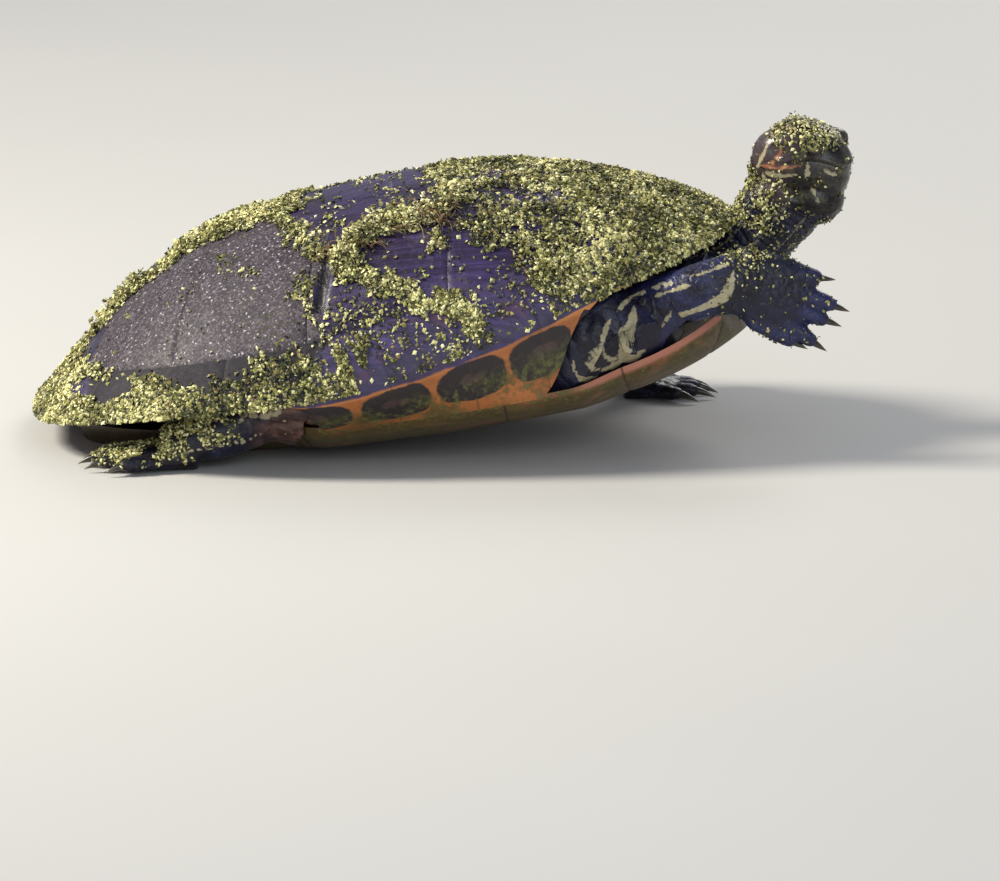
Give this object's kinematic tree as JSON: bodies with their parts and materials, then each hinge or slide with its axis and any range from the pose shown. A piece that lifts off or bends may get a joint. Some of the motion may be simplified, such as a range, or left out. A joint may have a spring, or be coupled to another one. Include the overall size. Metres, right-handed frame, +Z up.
{
  "type": "red-bellied cooter turtle",
  "caption": "Life-size still model of a basking pond turtle: domed dark shell with an orange underside, raised neck and head, one foreleg stretched forward.",
  "frame": {"origin": "on the floor, under the middle of the whole figure's box", "axes": "+X the way the shell points, towards the head; +Y the turtle's left; +Z up"},
  "size_m": [0.3166, 0.201, 0.1238],
  "materials": {
    "carapace_horn": "satin",
    "margin_horn": "satin",
    "plastron_horn": "satin",
    "skin": "satin",
    "eye": "gloss",
    "claw": "satin",
    "duckweed": "matte"
  },
  "bodies": {
    "root": {"abdominal_left": "plastron_horn", "abdominal_right": "plastron_horn", "anal_left": "plastron_horn", "anal_right": "plastron_horn", "costal_1_left": "carapace_horn", "costal_1_right": "carapace_horn", "costal_2_left": "carapace_horn", "costal_2_right": "carapace_horn", "costal_3_left": "carapace_horn", "costal_3_right": "carapace_horn", "costal_4_left": "carapace_horn", "costal_4_right": "carapace_horn", "eye_left": "eye", "eye_right": "eye", "femoral_left": "plastron_horn", "femoral_right": "plastron_horn", "foreleg_left": "skin", "foreleg_right": "skin", "gular_left": "plastron_horn", "gular_right": "plastron_horn", "head": "skin", "hindleg_left": "skin", "hindleg_right": "skin", "humeral_left": "plastron_horn", "humeral_right": "plastron_horn", "marginal_01_left": "margin_horn", "marginal_01_right": "margin_horn", "marginal_02_left": "margin_horn", "marginal_02_right": "margin_horn", "marginal_03_left": "margin_horn", "marginal_03_right": "margin_horn", "marginal_04_left": "margin_horn", "marginal_04_right": "margin_horn", "marginal_05_left": "margin_horn", "marginal_05_right": "margin_horn", "marginal_06_left": "margin_horn", "marginal_06_right": "margin_horn", "marginal_07_left": "margin_horn", "marginal_07_right": "margin_horn", "marginal_08_left": "margin_horn", "marginal_08_right": "margin_horn", "marginal_09_left": "margin_horn", "marginal_09_right": "margin_horn", "marginal_10_left": "margin_horn", "marginal_10_right": "margin_horn", "marginal_11_left": "margin_horn", "marginal_11_right": "margin_horn", "marginal_12_left": "margin_horn", "marginal_12_right": "margin_horn", "neck": "skin", "nuchal": "margin_horn", "pectoral_left": "plastron_horn", "pectoral_right": "plastron_horn", "tail": "skin", "trunk": "skin", "vertebral_1": "carapace_horn", "vertebral_2": "carapace_horn", "vertebral_3": "carapace_horn", "vertebral_4": "carapace_horn", "vertebral_5": "carapace_horn"}
  },
  "joints": []
}
